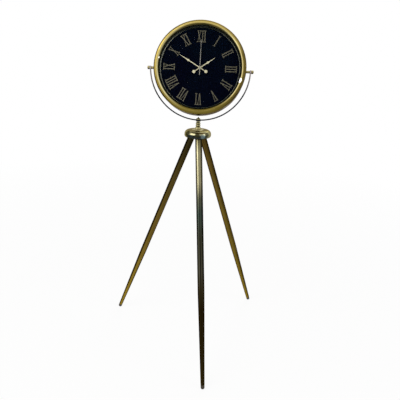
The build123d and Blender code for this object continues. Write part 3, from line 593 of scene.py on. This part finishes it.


# Hub cover: a cushion-shaped brass dish spun over the casting, curled in round its open
# edge and held down by the stem. Its side is painted with a blue-black band, painted
# shade, and painted reflections lie on it, pale at its left and right ends and dark round
# its front.

hub_top = Vector((pivot.x, pivot.y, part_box("hub_cover")[1][2]))
cushion_centre, cushion_radius, cushion_depth = 35.71, 15.29, 15
curl_centre, curl_radius, cover_wall = (44, -20), 7, 2.2
cushion_inside = (cushion_radius - cover_wall, cushion_depth - cover_wall)
# Down the side the colour is partly painted: the blue-black band low down is painted shade.
hub_brass = spun_metal(
    "hub_brass",
    hub_top,
    upright,
    "height",
    [
        (-27.0, (0.040, 0.044, 0.036)),
        (-17.5, (0.008, 0.010, 0.009)),
        (-13.5, (0.022, 0.024, 0.014)),
        (-10.0, (0.36, 0.33, 0.18)),
        (-5.0, (0.34, 0.31, 0.165)),
        (-1.0, (0.25, 0.23, 0.125)),
        (0.0, (0.21, 0.195, 0.11)),
    ],
    tarnish=(0.055, 0.078, 0.078),
    polish=0.10,
    wear=0.5,
    blotches=75,
)


def painted_pale_ends(bench, place):
    """0.85 on painted pale reflections at the hub's left and right, and 0 between them."""
    offset = bench.measure("SUBTRACT", place, hub_top, "Vector")
    beside = apart_from(bench, place, hub_top) + bench.noise(offset, 90) * 0.012
    return bench.contrast(beside, 0.040, 0.053) * 0.85


def blue_bloom(bench, place):
    """0.6 on a patch of blue-green bloom to the right of the front leg, and 0 round it."""
    return bench.near(place, hub_top + Vector((0.022, -0.045, -0.016)), 0.010, 0.006) * 0.6


def painted_dark_reflections(bench, place):
    """Up to 0.9 on three painted dark reflections round the front of the hub, and 0 between them."""
    left = bench.near(place, hub_top + Vector((-0.036, -0.031, -0.010)), 0.0115, 0.005)
    middle = bench.near(place, hub_top + Vector((0.001, -0.050, -0.011)), 0.0095, 0.005)
    far = bench.near(place, hub_top + Vector((0.036, -0.033, -0.011)), 0.0095, 0.005)
    return (left + middle + far * 0.8) * 0.9


# Painted reflections, pale at the hub's ends and dark round its front, and a patch of bloom.
overlay(hub_brass, painted_pale_ends, (0.34, 0.32, 0.18))
overlay(hub_brass, blue_bloom, (0.15, 0.21, 0.21))
overlay(hub_brass, painted_dark_reflections, (0.030, 0.028, 0.010))
cover_profile = (
    [(5, 0), (cushion_centre, 0)]
    + arc((cushion_centre, -cushion_depth), (cushion_radius, cushion_depth), 90, 0, steps=14)
    + arc(curl_centre, (curl_radius, curl_radius), 0, -90)
    + [(44, -24.8)]
    + arc(curl_centre, (curl_radius - cover_wall, curl_radius - cover_wall), -90, 0)
    + arc((cushion_centre, -cushion_depth), cushion_inside, 0, 90)
    + [(5, -cover_wall)]
)
cover = turned("hub_dish", cover_profile, hub_top, upright, "stand", hub_brass)
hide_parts("hub_cover")


# Stem and finial: turned from one brass bar, with a cove foot, two beads and a collar
# that the yoke turns on, and an acorn nut above it. Polish never reaches the grooves, and
# the foot keeps its old lacquer. Washers of pressed fibre lie where the yoke turns.

stem_brass = spun_metal(
    "stem_brass",
    hub_top,
    upright,
    "radius",
    [
        (0.0, (0.05, 0.05, 0.016)),
        (5.9, (0.05, 0.05, 0.016)),
        (7.4, (0.30, 0.275, 0.14)),
        (10.0, (0.40, 0.36, 0.18)),
        (22.0, (0.50, 0.45, 0.24)),
        (24.0, (0.22, 0.19, 0.075)),
    ],
    tarnish=(0.10, 0.095, 0.035),
    polish=0.36,
    wear=0.3,
    blotches=160,
)
bench = Bench(stem_brass.node_tree)
spread = bench.reach(bench.place(), hub_top, upright)
foot_lacquer = bench.contrast(spread, 0.0095, 0.013) * (1 - bench.contrast(spread, 0.023, 0.025))
bench.feed(stem_brass.node_tree.nodes["Principled BSDF"], Metallic=1 - foot_lacquer * 0.55)
stem_profile = (
    [(0, -17.15), (5, -17.15), (5, 0), (21.6, 0), (22, 0.4), (21.8, 0.9), (16.2, 1.2)]
    + [(14.2, 2.2), (12.7, 4.0), (11.4, 6.2), (10.2, 8.6), (9.2, 10.6), (8.2, 12.1), (5.6, 12.6)]
    + [(5.4, 13.1)]
    + arc((5.2, 17.0), (4.0, 3.85), -85, 85, steps=14)
    + arc((5.2, 24.8), (4.0, 3.85), -85, 85, steps=14)
    + [(5.4, 28.9), (5.4, 30.9), (8.6, 31.7), (8.75, 31.9), (8.75, 33.6), (8.45, 33.9)]
    + [(3, 33.9), (3, 43.1), (0, 43.1)]
)
stem = turned(
    "turned_stem", stem_profile, hub_top, upright, "stand", stem_brass, sides=64
)
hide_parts("stem")
coat(stem_brass, "finial_nut")

washer_fibre, bench, shader = new_finish("washer_fibre")
pulp = bench.noise(bench.place(), 900, 4)
bench.feed(
    shader,
    Base_Color=bench.blend(pulp, (0.045, 0.037, 0.028), (0.095, 0.082, 0.062)),
    Roughness=0.62 + pulp * 0.2,
)
coat(washer_fibre, "swivel_washers", "pivot_washers")


# Yoke: one round steel rod bent to a half ring and nickel plated, its ends hammered
# into eyes for the pivots and its middle into a pad for the stud. The plating is thick.
# Its colour is painted shade low down and a pale painted highlight higher up, near the eyes.

rod_steel, bench, shader = new_finish("rod_steel", Metallic=1.0, Specular_Tint=(0.1, 0.1, 0.1, 1))
place = bench.place()
dulling = bench.noise(place, 60, 5)
# Painted light: a pale painted highlight higher up and painted shade lower down.
painted_highlight_above = bench.contrast(bench.height(place) + dulling * 0.03, pivot.z - 0.07, pivot.z + 0.01)
tones = bench.contrast(dulling, 0.35, 0.7)
painted_shade_nickel = bench.blend(tones, (0.010, 0.014, 0.018), (0.026, 0.032, 0.039))
bench.feed(
    shader,
    Base_Color=bench.blend(painted_highlight_above, painted_shade_nickel, (0.34, 0.30, 0.30)),
    Roughness=0.22 + dulling * 0.2,
)
coat(rod_steel, "yoke")
plating = nodes["yoke"].modifiers.new("plating", "DISPLACE")
plating.strength, plating.mid_level = 0.0004, 0


# Pivots: a plain brass sleeve and a domed, grooved clamp knob on each side, bright above
# and painted dark along the underside, painted shade.

knob_brass = spun_metal(
    "knob_brass",
    pivot,
    rightward,
    "radius",
    [(0.0, (0.10, 0.09, 0.035)), (3.0, (0.32, 0.27, 0.12)), (8.0, (0.36, 0.31, 0.15))],
    tarnish=(0.16, 0.14, 0.05),
)


def painted_shade_below(bench, place):
    """1 below the pivots' axis, where painted shade lies, and 0 above it."""
    ragged = bench.height(place) + bench.noise(place, 300) * 0.002
    return 1 - bench.contrast(ragged, pivot.z - 0.002, pivot.z + 0.003)


overlay(knob_brass, painted_shade_below, (0.045, 0.036, 0.010))
coat(knob_brass, "pivot_sleeves", "pivot_bosses", "clamp_knob_right", "clamp_knob_left")


# Legs: drawn brass tubes, swaged to a taper below and lacquered a dark antique gold.
# Drawing lines run along them. Painted shade darkens the side legs near the hub and the
# front leg all down its lower part, and painted reflections lay a cream band and a teal
# patch on the front leg and light and dark bands along each tube.

# The colour down each leg, by the distance from its hinge in millimetres, with painted
# reflections and painted shade in it.
left_stops = [
    (15, (0.038, 0.030, 0.010)),
    (160, (0.085, 0.060, 0.015)),
    (480, (0.20, 0.132, 0.024)),
    (700, (0.29, 0.195, 0.028)),
    (945, (0.31, 0.21, 0.028)),
]
right_stops = [
    (15, (0.12, 0.076, 0.016)),
    (160, (0.14, 0.092, 0.018)),
    (480, (0.19, 0.130, 0.023)),
    (700, (0.24, 0.165, 0.026)),
    (945, (0.26, 0.18, 0.026)),
]
front_stops = [
    (15, (0.16, 0.14, 0.062)),
    (70, (0.40, 0.365, 0.215)),
    (180, (0.36, 0.325, 0.185)),
    (240, (0.100, 0.100, 0.062)),
    (300, (0.052, 0.074, 0.058)),
    (400, (0.064, 0.062, 0.038)),
    (520, (0.092, 0.084, 0.056)),
    (590, (0.036, 0.027, 0.010)),
    (660, (0.020, 0.012, 0.003)),
    (945, (0.034, 0.022, 0.005)),
]
# How far painted shade darkens each leg across, from its left edge at -1 to its right
# edge at 1. The bands left light between are painted reflections.
left_painted_bands = ((-1, 0.9), (-0.62, 0.85), (-0.32, 0.15), (0.55, 0.0), (0.8, 0.5), (1, 0.8))
right_painted_bands = ((-1, 0.8), (-0.82, 0.5), (-0.6, 0.0), (0.1, 0.0), (0.6, 0.5), (1, 0.85))
front_painted_bands = (
    (-1, 1.0),
    (-0.68, 0.95),
    (-0.54, 0.1),
    (-0.22, 0.0),
    (-0.12, 0.7),
    (0.10, 0.7),
    (0.22, 0.12),
    (0.42, 0.12),
    (0.56, 0.95),
    (1, 1.0),
)
taper_length, tip_length, sole_to_axis, painted_dark_from = 360, 9, 0.007, 550
one_over_radius, added_by_taper, squeezed_share = 77, 55, 0.985
foot_mounts = {mount["name"]: Vector(mount["pos_m"]) for mount in frame["record"]["mounts"]}
for side, stops, painted_bands in (
    ("front", front_stops, front_painted_bands),
    ("right", right_stops, right_painted_bands),
    ("left", left_stops, left_painted_bands),
):
    hinge = Vector(joints[f"{side}_leg_fold"]["pos_m"])
    foot = foot_mounts[f"{side}_foot"] + Vector((0, 0, sole_to_axis))
    along = (foot - hinge).normalized()
    reach = (foot - hinge).length * 1000
    material, bench, shader = new_finish(
        f"leg_gold_{side}", Metallic=1.0, Specular_Tint=(0.3, 0.24, 0.12, 1)
    )
    place = bench.place()
    offset = bench.measure("SUBTRACT", place, hinge, "Vector")
    drawn = bench.measure("DOT_PRODUCT", offset, along)
    across = bench.measure("DOT_PRODUCT", offset, along.cross(Vector((0, 1, 0))).normalized())
    slimmer = bench.contrast(drawn, (reach - taper_length) / 1000, reach / 1000)
    across_share = across * (slimmer * added_by_taper + one_over_radius)
    shares = [(share, (dark, dark, dark)) for share, dark in painted_bands]
    # Painted shade across the tube, with painted reflection bands left between.
    painted_shade_across = bench.fade(across_share, shares)
    squeeze = {0: along, "Scale": drawn * squeezed_share}
    shift = bench.add("ShaderNodeVectorMath", {"operation": "SCALE"}, squeeze)
    flat = bench.measure("SUBTRACT", place, shift, "Vector")
    lines = bench.noise(flat, 420, 3)
    streaks = bench.contrast(bench.noise(flat, 110, 2), 0.42, 0.60)
    clouds = bench.contrast(bench.noise(place, 14, 5), 0.38, 0.70)
    gold = bench.fade(drawn * 1000, stops)
    # The same colours darkened as painted shade, less on the front leg's lower part, which is painted dark
    # already.
    painted_shade_tone_stops = []
    for spot, shade in stops:
        shade_factor = 0.5 if side == "front" and spot > painted_dark_from else 0.12
        painted_shade_tone_stops.append((spot, tuple(tone * shade_factor for tone in shade)))
    painted_shade_tone = bench.fade(drawn * 1000, painted_shade_tone_stops)
    bench.feed(
        shader,
        Base_Color=bench.blend(painted_shade_across + streaks * 0.3 + clouds * 0.15, gold, painted_shade_tone),
        Roughness=0.20 + clouds * 0.08 + lines * 0.08,
        Normal=bench.bump(lines, 0.04, 0.1),
    )
    taper = reach - taper_length
    tip = reach - tip_length
    leg_profile = [
        (11.8, 15),
        (12.8, 15),
        (13, 15.2),
        (13, taper - 7),
        (12.97, taper),
        (12.8, taper + 13),
        (7.6, tip - 1.5),
        (7.5, tip - 0.2),
        (7.3, tip),
        (6.3, tip),
        (11.8, taper),
    ]
    tube = turned(
        f"leg_{side}_tube",
        leg_profile,
        hinge,
        along,
        f"leg_{side}",
        material,
        sides=64,
    )
    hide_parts(f"leg_tube_{side}")
    coat(material, f"leg_plug_{side}")


# Foot tips: moulded rubber plugs pushed into the ends of the tubes, dark brown and dusty
# from the floor. The movement's gasket is cut from the same rubber.

tip_rubber, bench, shader = new_finish("tip_rubber")
dust = bench.contrast(bench.noise(bench.place(), 180, 5), 0.48, 0.75)
bench.feed(
    shader,
    Base_Color=bench.blend(dust, (0.022, 0.015, 0.005), (0.050, 0.038, 0.017)),
    Roughness=0.6 + dust * 0.25,
)
coat(tip_rubber, "foot_tip_front", "foot_tip_right", "foot_tip_left", "movement_gasket")


# Hub casting: three clevis arms cast in one piece of light alloy under the cover, with
# the sand's grain on its sides. Its bolts, nuts and washers are zinc plated, and so are
# the screws behind the clock and the movement's arbor and contacts.

cast_alloy, bench, shader = new_finish("cast_alloy", Metallic=0.9)
place = bench.place()
sand = bench.noise(place, 1100, 4)
dirt = bench.contrast(bench.noise(place, 70, 4), 0.4, 0.65)
bench.feed(
    shader,
    Base_Color=bench.blend(dirt, (0.10, 0.09, 0.06), (0.18, 0.165, 0.12)),
    Roughness=0.5 + sand * 0.2,
    Normal=bench.bump(sand, 0.3, 0.3),
)
coat(cast_alloy, "hub_casting")

zinc_plate, bench, shader = new_finish("zinc_plate", Metallic=1.0)
spangle = bench.noise(bench.place(), 400, 4)
tones = bench.contrast(spangle, 0.4, 0.6)
bench.feed(
    shader,
    Base_Color=bench.blend(tones, (0.42, 0.43, 0.45), (0.58, 0.58, 0.58)),
    Roughness=0.28 + spangle * 0.15,
)
coat(zinc_plate, "hinge_bolts", "hinge_nuts", "hinge_washers", "back_cover_screws")
coat(zinc_plate, "second_arbor", "battery_contacts")


# Back cover: sheet steel painted satin black, with a fine orange peel, round the
# window that the battery is changed through.

back_paint, bench, shader = new_finish("back_paint")
place = bench.place()
peel = bench.noise(place, 520)
faded = bench.contrast(bench.noise(place, 12, 4), 0.4, 0.7)
bench.feed(
    shader,
    Base_Color=bench.blend(faded, (0.010, 0.010, 0.010), (0.022, 0.021, 0.019)),
    Roughness=0.38 + peel * 0.15,
    Normal=bench.bump(peel, 0.25, 0.3),
)
coat(back_paint, "back_cover")


# Movement: a moulded black box with a spark-eroded surface, its brass bush and pipes,
# and a plain jacketed cell that lies across it.

box_plastic, bench, shader = new_finish("box_plastic")
spark = bench.noise(bench.place(), 1500)
bench.feed(
    shader,
    Base_Color=bench.blend(spark, (0.014, 0.014, 0.015), (0.028, 0.028, 0.028)),
    Roughness=0.5 + spark * 0.2,
    Normal=bench.bump(spark, 0.3, 0.2),
)
coat(box_plastic, "movement_case", "set_wheel", "dial_retainer")
coat(stem_brass, "centre_bush", "bush_washer", "bush_nut", "hour_pipe", "minute_pipe")

jacket, bench, shader = new_finish("jacket", Metallic=0.3, Coat_Weight=0.4)
place = bench.place()
across = bench.add("ShaderNodeSeparateXYZ", sockets={"Vector": place}, output="X")
band = bench.contrast(across, pivot.x + 0.0095, pivot.x + 0.0097)
bench.feed(
    shader,
    Base_Color=bench.blend(band, (0.04, 0.045, 0.05), (0.55, 0.42, 0.18)),
    Roughness=0.3 + bench.noise(place, 300) * 0.1,
)
coat(jacket, "battery")


# Colours are shown as they are written.

bpy.context.scene.view_settings.view_transform = "Standard"
